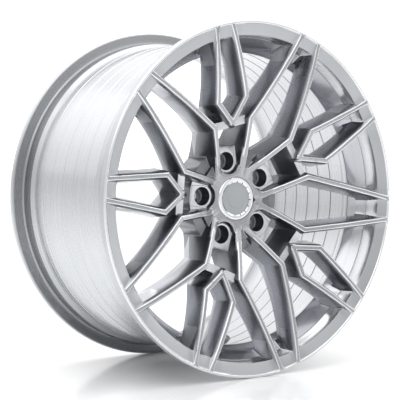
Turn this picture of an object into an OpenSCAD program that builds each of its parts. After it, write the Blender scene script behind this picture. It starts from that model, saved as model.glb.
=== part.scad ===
// Forged racing wheel rim, 19 x 10 inch, with its centre cap and tyre valve.
// The axle runs along Y. The styled face looks towards -Y and Z is up.
// Every shape is drawn with its axle along the local Z and its face up, then laid over by on_axle().

/* [Rim] */
// diameter of the two bead seats that the tyre sits on
bead_seat_d = 482.6; // [330:0.1:560]
// height of the flanges above the bead seats
flange_h = 17.3; // [14:0.1:20]
// distance between the outer faces of the two flanges
overall_w = 284; // [200:1:340]
// thickness of each flange along the axle
flange_t = 14; // [10:0.5:18]
// width of each bead seat
seat_w = 19; // [15:0.5:25]
// radial thickness of the barrel wall
barrel_t = 5.6; // [4:0.1:9]
// how far the drop centre lies below the bead seat, in radius
well_drop = 19.3; // [12:0.1:24]
// width of the bright polished lip at the outer edge of the face
lip_w = 4; // [2:0.5:8]
// how far the satin band behind the lip is sunk at its outer edge
lip_step = 1.6; // [0.5:0.1:4]
// width of the satin band between the lip and the inner edge of the face
band_w = 17.4; // [10:0.1:25]
// how far the satin band falls back towards its inner edge
band_fall = 4; // [1:0.5:10]
// distance of the drop centre's front edge behind the face
well_front = 51.4; // [45:0.1:70]
// width of the drop centre's floor
well_w = 22; // [15:1:60]
// how many fine turned ridges run round the barrel
ridge_count = 5; // [0:1:8]
// spacing of the turned ridges along the axle
ridge_pitch = 30; // [15:1:45]
// height of each turned ridge
ridge_h = 0.5; // [0.2:0.1:1.5]
// width of the turned ridge and of its slope
ridge_w = 2; // [1:0.5:4]

/* [Hub] */
// distance of the mounting face from the middle of the rim, towards the styled face
offset_et = 35; // [0:1:60]
// diameter of the mounting pad
pad_d = 158; // [130:1:180]
// bore for the axle hub
hub_bore_d = 73.1; // [56:0.1:90]
// depth of the axle hub bore
hub_bore_l = 27; // [15:1:35]
// how far the hub's front boss lies behind the face
hub_drop = 55; // [30:1:80]
// radius of the flat front boss round the cap
boss_r = 50; // [45:0.5:60]
// how far the lug pockets are sunk below the boss
pocket_drop = 7; // [3:0.5:15]
// radius of a lug pocket at its floor
pocket_r = 17; // [15:0.5:20]
// widening of a lug pocket from its floor to the boss
pocket_flare = 2.5; // [0:0.5:5]

/* [Lug holes] */
// number of lug holes, which is also the number of spoke groups
lug_count = 5; // [4:1:6]
// bolt circle diameter
lug_pcd = 114.3; // [98:0.1:130]
// diameter of the wrench hole above each seat
wrench_d = 27; // [22:0.5:30]
// hole for the bolt or stud
stud_hole_d = 15; // [12:0.5:17]
// outer diameter of the steel seat inserts
seat_d = 24; // [20:0.5:28]
// length of a seat insert
seat_l = 13; // [8:0.5:20]
// distance of the insert's rear end above the mounting face
seat_lift = 12; // [6:0.5:25]
// diameter of the conical seat at its mouth
cone_d = 21; // [18:0.5:25]
// full angle of the conical seat
cone_angle = 60; // [50:1:90]

/* [Spokes] */
// turn of the whole spoke pattern about the axle
pattern_turn = -4.5; // [-36:0.1:36]
// curve of the face from the hub out to the lip
face_curve = 1.9; // [1:0.05:3]
// curve of the spokes' back from the mounting pad out to the rim
back_curve = 2.25; // [1:0.05:4]
// depth of the spokes where they meet the rim
spoke_end_depth = 37; // [30:1:50]
// width of a spoke's machined top
top_w = 6.4; // [4:0.1:12]
// width of the chamfer on each side of the top, seen from the face
chamfer_w = 2.4; // [0:0.1:5]
// depth of that chamfer
chamfer_h = 4.5; // [1:0.5:10]
// width of a spoke above its bottom edge strip
wall_w = 16; // [10:0.5:30]
// width of a spoke at its back
base_w = 20; // [14:0.5:36]
// where a main arm leaves the hub: along and across the trunk it belongs to
root_x = 40; // [30:0.5:60]
// distance of that point from the trunk's middle line
root_y = 3.1; // [0:0.1:10]
// radius of the bend in a main arm
main_bend_r = 118; // [90:0.5:150]
// angle of that bend from the trunk
main_bend_a = 19.9; // [10:0.1:30]
// angle of a main arm's outer end from the trunk
main_end_a = 3.6; // [2:0.1:10]
// radius where the two V arms leave the bridge
vee_root_r = 114.6; // [95:0.5:150]
// radius of the bend in a V arm
vee_bend_r = 151.1; // [125:0.5:190]
// angle of that bend from the lug hole's line
vee_bend_a = 9.9; // [5:0.1:17]
// angle of a V arm's outer end from the lug hole's line
vee_end_a = 3.2; // [2:0.1:10]
// width of a bridge's flat top
bridge_w = 12; // [8:0.5:20]
// width of a bridge at its back
bridge_base_w = 25; // [15:0.5:40]
// how far a bridge's top lies below the spokes' tops
bridge_drop = 9; // [3:0.5:20]
// reach of the web in the fork of each trunk
web_r = 63; // [50:1:80]
// how far the web lies below the boss
web_drop = 1; // [0:0.5:20]

/* [Hub ring] */
// bore of the plastic centring ring
ring_bore_d = 66.6; // [54:0.1:72]
// length of the centring ring
ring_l = 12; // [8:0.5:20]

/* [Centre cap] */
// outer diameter of the cap's trim ring
cap_d = 64; // [50:0.5:75]
// how far the cap's seat is sunk into the boss
cap_seat_drop = 6; // [4:0.5:12]
// thickness of the cap's flange
cap_flange_t = 2.6; // [1.5:0.1:5]
// bore that the cap's legs stand in
cap_bore_d = 58; // [45:0.5:62]
// length of the cap's legs
cap_leg_l = 14; // [10:0.5:18]
// thickness of the cap's legs
cap_leg_t = 3.4; // [2:0.1:6]
// number of legs
cap_leg_count = 6; // [3:1:8]
// width of the slots between the legs
cap_slot_w = 6; // [2:0.5:12]
// diameter of the flat blank disc in the cap
emblem_d = 48; // [30:0.5:54]
// number of small notches round the disc
notch_count = 16; // [8:1:32]
// width of each small notch
notch_w = 1.2; // [0.5:0.1:3]
// thickness of the wire ring that holds the cap in its bore
wire_d = 1.6; // [1:0.1:2.5]
// distance of the wire ring behind the cap's seat
wire_drop = 9; // [5:0.5:12]
// radius of the notch in the boss for prising the cap out
prise_r = 3; // [1:0.5:6]

/* [Tyre valve] */
// angle of the valve round the rim
valve_angle = 258; // [0:0.5:359.5]
// valve hole in the rim
valve_hole_d = 11.3; // [8.3:0.1:16]
// diameter of the flat spots round the valve hole
spot_d = 19; // [16:0.5:24]
// length of the valve stem from the rim's wall to its tip
stem_l = 30; // [28:0.5:45]
// diameter of the stem's plain part
stem_d = 8; // [7:0.1:9]
// thread diameter at the mouth
mouth_d = 7.7; // [7:0.1:8]
// width of the valve nut across its flats
nut_w = 14; // [11:0.5:17]
// height of the valve nut
nut_h = 5; // [3:0.5:8]
// diameter of the stem's head on the tyre side
head_d = 15; // [12:0.5:18]
// outer diameter of the dust cap
dust_cap_d = 10; // [9.5:0.1:13]

/* [Hidden] */
$fn = 144;
// clearance round pieces that come apart by hand
fit_gap = 0.3;
// clearance round pieces that are pressed or screwed together
press_gap = 0.05;
// how far a spoke is drawn past the lathe cuts
over = 4;
// radius inside which the face is flat
flat_r = 45;
flange_r = bead_seat_d / 2 + flange_h;
seat_r = bead_seat_d / 2;
front = overall_w / 2;
rear = -front;
lip_r = flange_r - lip_w;
band_r = lip_r - band_w;
well_r = seat_r - well_drop;
well_in_r = well_r - barrel_t - 0.8;
well_z = front - well_front;
seat_fall = seat_w * tan(5);
seat_end_z = front - flange_t - seat_w;
wall_lean = 1;
pad_z = offset_et;
pad_r = pad_d / 2;
boss_z = front - hub_drop;
pocket_z = boss_z - pocket_drop;
lug_r = lug_pcd / 2;
sector = 360 / lug_count;
seam_z = well_z - 5;
barrel_z = well_z - well_w;
barrel_end_z = rear + flange_t + seat_w + 8;
// first turned ridge, and how many ridges fit on the wall behind it
ridge_z = barrel_z - 30;
ridges = min(ridge_count, 1 + floor((ridge_z - ridge_w - barrel_end_z) / ridge_pitch));
cap_seat_z = boss_z - cap_seat_drop;
cap_z = cap_seat_z + fit_gap;
cap_bore_r = cap_bore_d / 2;
leg_r = cap_bore_r - fit_gap;
wire_z = cap_seat_z - wire_drop;
slope_top = [band_r - 2.4, front - 32];
slope_foot = [well_in_r, well_z];
slope_u = (slope_foot - slope_top) / norm(slope_foot - slope_top);
slope_n = [slope_u[1], -slope_u[0]];
slope_back = slope_top - slope_n * barrel_t;
valve_point = (slope_top + slope_foot) / 2;
spot_cut = 0.3;
stem_r = stem_d / 2;
mouth_r = mouth_d / 2;
mouth_l = 9;
core_r = 2.6;
core_l = 9;
core_z = stem_l - 1.2;
core_foot_z = core_z - core_l;
pin_r = 0.55;
pin_hole_r = pin_r + fit_gap;
air_r = 1.5;
chamber_r = 2.1;
spring_l = 3.8;
spring_turns = 4;
spring_wire_r = 0.22;
spring_foot_z = core_foot_z + 1.5;

// Depth of the turned face behind the lip at radius r.
function face_z(r) =
    front - hub_drop * pow(1 - min(max((r - flat_r) / (lip_r - flat_r), 0), 1), face_curve);

// Height of the spokes' back at radius r, from the mounting face out to the rim.
function back_z(r) =
    let (t = min(max((r - pad_r) / (band_r - pad_r), 0), 1))
    front - spoke_end_depth - (front - spoke_end_depth - pad_z) * pow(1 - t, back_curve);

// Point at radius r and angle a.
function polar(r, a) = [r * cos(a), r * sin(a)];

// Points of a round corner, drawn about centre c from angle a to angle b.
function corner(c, r, a, b, n = 6) =
    [for (i = [0:n]) c + polar(r, a + (b - a) * i / n)];

// Point a share t of the way from a to b.
function between(a, b, t) = a + (b - a) * t;

// Lays a shape that was drawn with its axle along Z over onto the wheel's axle.
module on_axle() {
    rotate([90, 0, 0])
        rotate([0, 0, pattern_turn])
            children();
}

// Stands a shape that was drawn along Z on the valve hole, with the rim's inner wall at Z = 0.
module on_valve() {
    rotate([90, 0, 0])
        rotate([0, 0, valve_angle])
            translate([valve_point[0], 0, valve_point[1]])
                rotate([0, atan2(slope_n[0], slope_n[1]), 0])
                    children();
}

// A tube standing on z from radius r1 out to radius r2.
module tube(r1, r2, z, h) {
    translate([0, 0, z])
        difference() {
            cylinder(r = r2, h = h);
            translate([0, 0, -1])
                cylinder(r = r1, h = h + 2);
        }
}

// Repeats a shape at every lug hole's line, which lies half a sector from each trunk.
module at_lugs() {
    for (i = [0:lug_count - 1])
        rotate([0, 0, sector * (i + 0.5)])
            children();
}

// Repeats a shape at every trunk.
module at_trunks() {
    for (i = [0:lug_count - 1])
        rotate([0, 0, sector * i])
            children();
}

// Draws a shape and its mirror image across the line it springs from.
module both_sides() {
    children();
    mirror([0, 1, 0])
        children();
}

// Points along a spoke with the direction across it at each, wider at a bend so the sides stay parallel.
function across(path, i) =
    let (
        before = path[max(i, 1)] - path[max(i, 1) - 1],
        after = path[min(i, len(path) - 2) + 1] - path[min(i, len(path) - 2)],
        u = before / norm(before),
        v = after / norm(after),
        m = (u + v) / norm(u + v)
    )
    [-m[1], m[0]] / (m * u);

// The eight corners of a spoke's section at plan point c, with n the direction across.
function spoke_section(c, n) =
    let (
        top = face_z(norm(c)),
        foot = back_z(norm(c)) - over,
        edge_z = foot + (top - foot) * 0.28,
        rise = over * chamfer_w / chamfer_h,
        half = [top_w / 2 - rise, top_w / 2 + chamfer_w, wall_w / 2, base_w / 2],
        z = [top + over, top - chamfer_h, edge_z, foot]
    )
    concat(
        [for (k = [0:3]) concat(c - n * half[k], [z[k]])],
        [for (k = [3:-1:0]) concat(c + n * half[k], [z[k]])]
    );

// A spoke along a plan path, eight-sided in section, drawn over-long for the lathe cut.
module spoke(path) {
    n = len(path);
    points = [
        for (i = [0:n - 1])
            for (p = spoke_section(path[i], across(path, i)))
                p
    ];
    sides = [
        for (i = [0:n - 2])
            for (k = [0:7])
                for (half = [0, 1])
                    let (a = i * 8 + k, b = i * 8 + (k + 1) % 8)
                    half == 0 ? [a, b + 8, b] : [a, a + 8, b + 8]
    ];
    ends = [
        [for (k = [0:7]) k],
        [for (k = [7:-1:0]) (n - 1) * 8 + k]
    ];
    polyhedron(points, concat(sides, ends), convexity = 4);
}

// A main arm: out of the hub, round its bend and on to the lip.
module main_arm() {
    root = [root_x, root_y];
    bend = polar(main_bend_r, main_bend_a);
    end = polar(flange_r - 2, main_end_a);
    spoke([root, between(root, bend, 0.5), bend, between(bend, end, 0.3), between(bend, end, 0.65), end]);
}

// A V arm: out of the bridge, round its bend and on to the lip.
module vee_arm() {
    root = polar(vee_root_r, 0);
    bend = polar(vee_bend_r, vee_bend_a);
    end = polar(flange_r - 2, vee_end_a);
    spoke([root - [4, 3], bend, between(bend, end, 0.5), end]);
}

// A bridge between two main arms, across a lug hole's line.
module bridge() {
    middle = vee_root_r - 1;
    reach = main_bend_r * sin(sector / 2 - main_bend_a) + 2;
    top = face_z(vee_root_r) - bridge_drop;
    foot = back_z(middle) - over;
    slope = (bridge_base_w - bridge_w) / 2;
    rotate([90, 0, 0])
        linear_extrude(2 * reach, center = true)
            polygon([
                [middle - bridge_w / 2 - slope, foot],
                [middle + bridge_w / 2 + slope, foot],
                [middle + bridge_w / 2, top],
                [middle - bridge_w / 2, top]
            ]);
}

// The web that fills the fork of a trunk.
module fork_web() {
    half = web_r * tan(main_bend_a) * 0.75;
    translate([0, 0, pad_z + 1])
        linear_extrude(boss_z - web_drop - pad_z - 1)
            polygon([[30, -3], [web_r, -half], [web_r, half], [30, 3]]);
}

// The space that the turned face, the back and the rim leave for the spokes.
module spoke_envelope() {
    steps = 12;
    top = [for (i = [0:steps]) let (r = flat_r + (lip_r - flat_r) * i / steps) [r, face_z(r)]];
    back = [for (i = [0:steps]) let (r = pad_r + (band_r - 16 - pad_r) * i / steps) [r, back_z(r)]];
    rotate_extrude()
        polygon(concat(
            [[0, pad_z]],
            back,
            [
                [band_r - 14, well_z + 4.5],
                [seat_r - 3.4, seat_end_z + 1],
                [seat_r - 2.6, front - flange_t - 2],
                [flange_r - 2.4, front - flange_t + 3],
                [flange_r - 2.4, front]
            ],
            [for (i = [steps:-1:0]) top[i]],
            [[0, boss_z]]
        ));
}

// Section of the front flange, the satin band, the front bead seat and the slope down to the well.
module front_rim_section() {
    polygon(concat(
        [[lip_r, front]],
        corner([flange_r - 2, front - 2], 2, 90, 0),
        corner([flange_r - 3, front - flange_t + 3], 3, 0, -90),
        [[seat_r + 4, front - flange_t - wall_lean]],
        corner([seat_r + 4, front - flange_t - wall_lean - 4], 4, 90, 180, 4),
        [
            [seat_r - seat_fall + 0.6, seat_end_z + 4],
            [seat_r - seat_fall, seat_end_z],
            slope_back,
            slope_back + slope_u * (well_r - slope_back[0]) / slope_u[0],
            [well_r, seam_z],
            [well_in_r, seam_z],
            slope_foot,
            slope_top,
            slope_top + [1.2, 1],
            [band_r, front - lip_step - band_fall],
            [lip_r - 0.6, front - lip_step]
        ]
    ));
}

// Everything of the forging that is drawn before its holes are cut.
module forging_blank() {
    rotate_extrude()
        front_rim_section();
    intersection() {
        union() {
            at_trunks()
                both_sides()
                    main_arm();
            at_lugs()
                both_sides()
                    vee_arm();
            at_lugs()
                bridge();
        }
        spoke_envelope();
    }
    translate([0, 0, pad_z])
        cylinder(r = pad_r, h = pocket_z - pad_z);
    hub_boss();
}

// The boss round the cap and the webs in the trunks' forks, hollowed round each lug hole.
module hub_boss() {
    below = 5;
    flare_below = pocket_flare * below / pocket_drop;
    difference() {
        union() {
            translate([0, 0, pad_z + 1])
                cylinder(r = boss_r, h = boss_z - pad_z - 1);
            at_trunks()
                fork_web();
        }
        at_lugs()
            translate([lug_r, 0, pocket_z - below])
                cylinder(
                    r1 = pocket_r - flare_below,
                    r2 = pocket_r + pocket_flare,
                    h = pocket_drop + below + 0.01
                );
    }
}

// Wrench hole, seat pocket and stud hole of one lug.
module lug_bore() {
    translate([lug_r, 0, 0]) {
        translate([0, 0, pad_z + seat_lift + seat_l])
            cylinder(d = wrench_d, h = front);
        translate([0, 0, pad_z + seat_lift])
            cylinder(d = seat_d, h = seat_l + 1);
        translate([0, 0, pad_z - 1])
            cylinder(d = stud_hole_d, h = seat_lift + 2);
    }
}

// The forged centre: hub, spokes, bridges and the front half of the rim in one forging.
module centre_forging() {
    color("#8e9094")
        on_axle()
            difference() {
                forging_blank();
                at_lugs()
                    lug_bore();
                translate([0, 0, pad_z - 1])
                    cylinder(d = hub_bore_d, h = hub_bore_l + 1);
                translate([0, 0, pad_z])
                    cylinder(d = cap_bore_d, h = 100);
                translate([0, 0, cap_seat_z])
                    cylinder(d = cap_d + 2 * fit_gap, h = 40);
                tube(cap_bore_r - 1, cap_bore_r + 1.3, wire_z - 1.4, 2.8);
                translate([cap_d / 2, 0, cap_seat_z])
                    cylinder(r = prise_r, h = 40, $fn = 48);
                rotate([0, 0, -pattern_turn])
                    rotate([-90, 0, 0])
                        on_valve()
                            valve_cut();
            }
}

// The valve hole and the flat spots on both faces of the wall.
module valve_cut() {
    translate([0, 0, -20])
        cylinder(d = valve_hole_d, h = 40);
    translate([0, 0, -spot_cut])
        cylinder(d = spot_d, h = 8);
    translate([0, 0, spot_cut - barrel_t - 8])
        cylinder(d = spot_d, h = 8);
}

// Radius of the barrel's outer skin where it leaves the well and where it meets the rear seat.
function skin_r(z) = well_r + 9 + 5.5 * (barrel_z - z) / (barrel_z - rear);

// Points of one skin of the barrel with its turned ridges, from the well towards the rear.
function ridged(shift, lift) = [
    for (i = [0:1:ridges - 1])
        let (z = ridge_z - i * ridge_pitch)
        each [
            [skin_r(z + ridge_w) + shift, z + ridge_w],
            [skin_r(z + ridge_w) + shift + lift, z + ridge_w / 2],
            [skin_r(z) + shift + lift, z - ridge_w / 2],
            [skin_r(z) + shift, z - ridge_w]
        ]
];

// The barrel: drop centre, long wall, rear bead seat and rear flange.
module rim_barrel() {
    color("#c9ccd0")
        on_axle()
            rotate_extrude()
                polygon(concat(
                    [
                        [well_in_r + 0.8, seam_z],
                        [well_r, seam_z],
                        [well_r, barrel_z + 14],
                        [skin_r(barrel_z), barrel_z]
                    ],
                    ridged(0, ridge_h),
                    [
                        [skin_r(barrel_end_z), barrel_end_z],
                        [seat_r - seat_fall + 0.8, barrel_end_z - 5],
                        [seat_r - seat_fall + 0.6, barrel_end_z - 11]
                    ],
                    corner([seat_r + 4, rear + flange_t + wall_lean + 4], 4, 180, 270, 4),
                    corner([flange_r - 3, rear + flange_t - 3], 3, 90, 0),
                    corner([flange_r - 7, rear + 7], 7, 0, -90, 8),
                    [
                        [band_r - 1, rear],
                        [band_r - 3, rear + 2],
                        [skin_r(rear) - barrel_t, rear + flange_t + 4]
                    ],
                    [for (i = [4 * ridges - 1:-1:0]) ridged(-barrel_t, ridge_h)[i]],
                    [
                        [skin_r(barrel_z) - barrel_t, barrel_z - 2],
                        [well_in_r + 0.8, barrel_z + 12]
                    ]
                ));
}

// The weld bead round the joint in the drop centre.
module seam_weld() {
    color("#b4b6b8")
        on_axle()
            rotate_extrude()
                translate([well_r, seam_z])
                    polygon([[0, -3], [0.8, -2], [1.1, 0], [0.8, 2], [0, 3]]);
}

// A steel seat insert: a sleeve with a conical mouth.
module lug_seat(i) {
    cone_h = (cone_d - stud_hole_d) / 2 / tan(cone_angle / 2);
    color("#5d5f63")
        on_axle()
            rotate([0, 0, sector * (i - 0.5)])
                translate([lug_r, 0, pad_z + seat_lift])
                    difference() {
                        cylinder(d = seat_d, h = seat_l);
                        translate([0, 0, -1])
                            cylinder(d = stud_hole_d, h = seat_l + 2);
                        translate([0, 0, seat_l - cone_h])
                            cylinder(d1 = stud_hole_d, d2 = cone_d, h = cone_h);
                    }
}

// The plastic ring that centres the wheel on the axle hub.
module hub_ring() {
    color("#2b2c2e")
        on_axle()
            translate([0, 0, pad_z])
                difference() {
                    cylinder(d = hub_bore_d, h = ring_l);
                    translate([0, 0, -1])
                        cylinder(d = ring_bore_d, h = ring_l + 2);
                }
}

// The cap's body: a flange with a ring of sprung legs behind it.
module cap_body() {
    color("#3a3b3d")
        on_axle()
            difference() {
                union() {
                    translate([0, 0, cap_z])
                        cylinder(d = cap_d, h = cap_flange_t);
                    tube(leg_r - cap_leg_t, leg_r, cap_z - cap_leg_l, cap_leg_l + 0.5);
                }
                for (i = [0:cap_leg_count - 1])
                    rotate([0, 0, 360 / cap_leg_count * i])
                        translate([leg_r - cap_leg_t - 1, -cap_slot_w / 2, cap_z - cap_leg_l - 1])
                            cube([cap_leg_t + 2, cap_slot_w, cap_leg_l]);
                tube(leg_r - 1, leg_r + 1, wire_z - wire_d / 2 - press_gap, wire_d + 2 * press_gap);
            }
}

// The polished ring round the cap, with small notches along its inner edge.
module cap_trim_ring() {
    base_z = cap_z + cap_flange_t;
    rise = boss_z - base_z + 1;
    color("#e2e3e5")
        on_axle()
            difference() {
                rotate_extrude()
                    polygon([
                        [emblem_d / 2 + press_gap, base_z],
                        [cap_d / 2, base_z],
                        [cap_d / 2, base_z + rise - 1.6],
                        [cap_d / 2 - 1.2, base_z + rise - 0.4],
                        [cap_d / 2 - 3, base_z + rise],
                        [emblem_d / 2 + 2.2, base_z + rise - 0.3],
                        [emblem_d / 2 + press_gap, base_z + rise - 1.4]
                    ]);
                for (i = [0:notch_count - 1])
                    rotate([0, 0, 360 / notch_count * i])
                        translate([emblem_d / 2 - 1, -notch_w / 2, base_z + rise - 2])
                            cube([3.4, notch_w, 3]);
            }
}

// The blank satin disc in the middle of the cap, with a raised rim and a turned step.
module cap_disc() {
    base_z = cap_z + cap_flange_t;
    rise = boss_z - base_z;
    color("#a9abad")
        on_axle()
            rotate_extrude()
                polygon([
                    [0, base_z],
                    [emblem_d / 2, base_z],
                    [emblem_d / 2, base_z + rise - 1.2],
                    [emblem_d / 2 - 0.8, base_z + rise - 0.6],
                    [emblem_d / 2 - 4.6, base_z + rise - 0.6],
                    [emblem_d / 2 - 5, base_z + rise - 1],
                    [0, base_z + rise - 0.7]
                ]);
}

// The open wire ring that snaps into the groove of the cap's bore.
module cap_wire_ring() {
    color("#6d6f72")
        on_axle()
            translate([0, 0, wire_z])
                rotate([0, 0, 6])
                    rotate_extrude(angle = 348)
                        translate([leg_r + 0.1, 0])
                            circle(d = wire_d, $fn = 24);
}

// The clamp-in valve stem: head, threaded shank and mouth, with its air way.
module valve_stem() {
    color("#b9babc")
        on_valve()
            difference() {
                rotate_extrude()
                    polygon([
                        [0, -10],
                        [head_d / 2 - 1, -10],
                        [head_d / 2, -9],
                        [head_d / 2, -7.6],
                        [stem_r, -7.6],
                        [stem_r, stem_l - mouth_l - 3],
                        [mouth_r - 1, stem_l - mouth_l - 1.5],
                        [mouth_r - 1, stem_l - mouth_l],
                        [mouth_r, stem_l - mouth_l + 0.6],
                        [mouth_r, stem_l - 0.5],
                        [mouth_r - 0.5, stem_l],
                        [0, stem_l]
                    ]);
                translate([0, 0, -11])
                    cylinder(r = air_r, h = stem_l);
                translate([0, 0, core_foot_z - 5])
                    cylinder(r = chamber_r, h = 6);
                translate([0, 0, core_foot_z])
                    cylinder(r = core_r, h = core_l + 5);
            }
}

// The rubber grommet that seals the stem's head against the tyre side of the rim.
module valve_grommet() {
    seal_z = spot_cut - barrel_t;
    color("#1d1e1f")
        on_valve()
            rotate_extrude()
                polygon([
                    [stem_r + press_gap, -7.6 + press_gap],
                    [head_d / 2, -7.6 + press_gap],
                    [head_d / 2 + 0.4, -6.8],
                    [head_d / 2, seal_z - press_gap],
                    [valve_hole_d / 2 - press_gap, seal_z - press_gap],
                    [valve_hole_d / 2 - press_gap, -1.2],
                    [stem_r + press_gap, -1.2]
                ]);
}

// The flat washer under the valve nut.
module valve_washer() {
    color("#8c8e90")
        on_valve()
            tube(stem_r + press_gap, nut_w / 2 + 1, -spot_cut + press_gap, 1.3);
}

// The hexagon nut that clamps the stem, with a chamfered top.
module valve_nut() {
    base_z = 1.3 - spot_cut + 2 * press_gap;
    corner_r = nut_w / 2 / cos(30);
    color("#9b9da0")
        on_valve()
            translate([0, 0, base_z])
                difference() {
                    intersection() {
                        linear_extrude(nut_h)
                            polygon([for (i = [0:5]) polar(corner_r, 60 * i)]);
                        rotate_extrude()
                            polygon([
                                [0, 0],
                                [corner_r + 0.2, 0],
                                [corner_r + 0.2, nut_h - 0.8],
                                [nut_w / 2 - 0.1, nut_h],
                                [0, nut_h]
                            ]);
                    }
                    translate([0, 0, -1])
                        cylinder(r = stem_r + press_gap, h = nut_h + 2);
                }
}

// The brass body of the valve core, screwed into the stem's mouth, with the spring's chamber in it.
module valve_core_body() {
    color("#b08d4a")
        on_valve()
            rotate_extrude()
                polygon([
                    [pin_hole_r, core_foot_z],
                    [core_r - press_gap, core_foot_z],
                    [core_r - press_gap, core_z],
                    [pin_hole_r, core_z],
                    [pin_hole_r, core_z - 2],
                    [air_r, core_z - 2],
                    [air_r, spring_foot_z],
                    [pin_hole_r, spring_foot_z]
                ]);
}

// The small rubber ring on the core's pin that closes the air way.
module valve_core_seal() {
    color("#232425")
        on_valve()
            tube(pin_r, chamber_r - fit_gap, core_foot_z - 0.95, 0.9);
}

// The sprung pin that opens the valve when it is pressed.
module valve_core_pin() {
    color("#c9a85c")
        on_valve()
            rotate_extrude()
                polygon([
                    [0, core_foot_z - 2.6],
                    [pin_r, core_foot_z - 2.6],
                    [pin_r, core_foot_z - 1.45],
                    [air_r, core_foot_z - 1.45],
                    [air_r, core_foot_z - 0.95],
                    [pin_r, core_foot_z - 0.95],
                    [pin_r, spring_foot_z + spring_l + press_gap],
                    [air_r - fit_gap, spring_foot_z + spring_l + press_gap],
                    [air_r - fit_gap, spring_foot_z + spring_l + 0.6],
                    [pin_r, spring_foot_z + spring_l + 0.6],
                    [pin_r, core_z + 0.4],
                    [pin_r - 0.15, core_z + 0.5],
                    [0, core_z + 0.5]
                ]);
}

// A coil of round wire standing on Z = 0, with its middle line at radius r.
module coil(r, wire_r, height, turns) {
    around = 6;
    steps = 12 * turns;
    rise = height - 2 * wire_r;
    points = [
        for (i = [0:steps])
            let (a = 360 * turns * i / steps, z = wire_r + rise * i / steps)
            for (k = [0:around - 1])
                let (b = 360 * k / around, out = r + wire_r * cos(b))
                [out * cos(a), out * sin(a), z + wire_r * sin(b)]
    ];
    sides = [
        for (i = [0:steps - 1])
            for (k = [0:around - 1])
                for (half = [0, 1])
                    let (a = i * around + k, b = i * around + (k + 1) % around)
                    half == 0 ? [a, b + around, b] : [a, a + around, b + around]
    ];
    polyhedron(points, concat(sides, [
        [for (k = [0:around - 1]) k],
        [for (k = [around - 1:-1:0]) steps * around + k]
    ]));
}

// The coil spring that pushes the pin back out.
module valve_core_spring() {
    color("#d0d1d3")
        on_valve()
            translate([0, 0, spring_foot_z])
                coil(pin_r + spring_wire_r + 0.2, spring_wire_r, spring_l, spring_turns);
}

// The knurled plastic dust cap over the stem's mouth.
module valve_dust_cap() {
    foot_z = stem_l - mouth_l + 1;
    color("#202122")
        on_valve()
            difference() {
                rotate_extrude()
                    polygon([
                        [0, foot_z],
                        [dust_cap_d / 2 - 0.4, foot_z],
                        [dust_cap_d / 2, foot_z + 0.4],
                        [dust_cap_d / 2, stem_l + 1.6],
                        [dust_cap_d / 2 - 1.4, stem_l + 2.6],
                        [0, stem_l + 2.6]
                    ]);
                translate([0, 0, foot_z - 1])
                    cylinder(r = mouth_r + fit_gap, h = mouth_l + 1.2);
                for (i = [0:11])
                    rotate([0, 0, 30 * i])
                        translate([dust_cap_d / 2 + 0.3, 0, foot_z - 1])
                            cylinder(r = 0.7, h = mouth_l + 0.5, $fn = 16);
            }
}

// The flat rubber seal inside the dust cap.
module valve_dust_cap_seal() {
    color("#3b2a22")
        on_valve()
            tube(pin_r + 1.2, mouth_r, stem_l + fit_gap, 1 - fit_gap);
}

centre_forging();
rim_barrel();
seam_weld();
lug_seat(1);  // lug_seat_1
lug_seat(2);  // lug_seat_2
lug_seat(3);  // lug_seat_3
lug_seat(4);  // lug_seat_4
lug_seat(5);  // lug_seat_5
hub_ring();
cap_body();
cap_trim_ring();
cap_disc();
cap_wire_ring();
valve_stem();
valve_grommet();
valve_washer();
valve_nut();
valve_core_body();
valve_core_seal();
valve_core_spring();
valve_core_pin();
valve_dust_cap();
valve_dust_cap_seal();
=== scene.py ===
"""Looks of a forged racing wheel rim: forging, barrel, cap, lug seats, valve and a studio.

The axle runs along Y and the styled face looks towards -Y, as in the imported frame. Sizes are in metres.
"""

import math

import bmesh
import bpy
import numpy as np
from mathutils import Matrix, Vector


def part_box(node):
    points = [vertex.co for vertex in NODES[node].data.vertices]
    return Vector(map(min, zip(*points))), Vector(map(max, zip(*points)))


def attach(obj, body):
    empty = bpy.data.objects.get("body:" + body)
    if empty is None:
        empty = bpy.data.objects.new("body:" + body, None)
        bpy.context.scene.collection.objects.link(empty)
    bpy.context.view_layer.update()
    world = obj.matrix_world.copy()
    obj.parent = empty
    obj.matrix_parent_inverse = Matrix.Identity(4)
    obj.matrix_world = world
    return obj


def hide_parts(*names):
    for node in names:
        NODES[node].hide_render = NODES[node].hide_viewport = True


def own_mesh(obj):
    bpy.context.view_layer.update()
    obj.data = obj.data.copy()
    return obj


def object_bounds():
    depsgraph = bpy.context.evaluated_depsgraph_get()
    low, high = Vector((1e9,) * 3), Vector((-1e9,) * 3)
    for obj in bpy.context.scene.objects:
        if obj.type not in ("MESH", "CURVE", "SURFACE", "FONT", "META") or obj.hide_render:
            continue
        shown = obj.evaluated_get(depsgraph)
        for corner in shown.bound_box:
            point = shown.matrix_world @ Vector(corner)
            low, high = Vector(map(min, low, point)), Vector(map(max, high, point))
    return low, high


bl_info = {
    "name": "Forged racing wheel rim",
    "version": (1, 0, 0),
    "blender": (4, 5, 0),
    "location": "View3D > Sidebar > Wheel rim",
    "description": "Finishes a forged racing wheel rim and sets its studio",
    "category": "Object",
}

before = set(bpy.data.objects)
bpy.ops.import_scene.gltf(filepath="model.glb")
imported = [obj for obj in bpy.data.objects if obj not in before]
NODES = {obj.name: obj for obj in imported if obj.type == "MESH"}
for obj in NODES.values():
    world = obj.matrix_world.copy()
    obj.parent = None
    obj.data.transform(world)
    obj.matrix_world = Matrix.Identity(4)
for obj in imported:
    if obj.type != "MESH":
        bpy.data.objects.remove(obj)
CAD_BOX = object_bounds()

MM = 0.001
SPOKE_COUNT = 5
# Angle of the first trunk of the spokes round the axle.
PATTERN_TURN = math.radians(-4.5)
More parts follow.
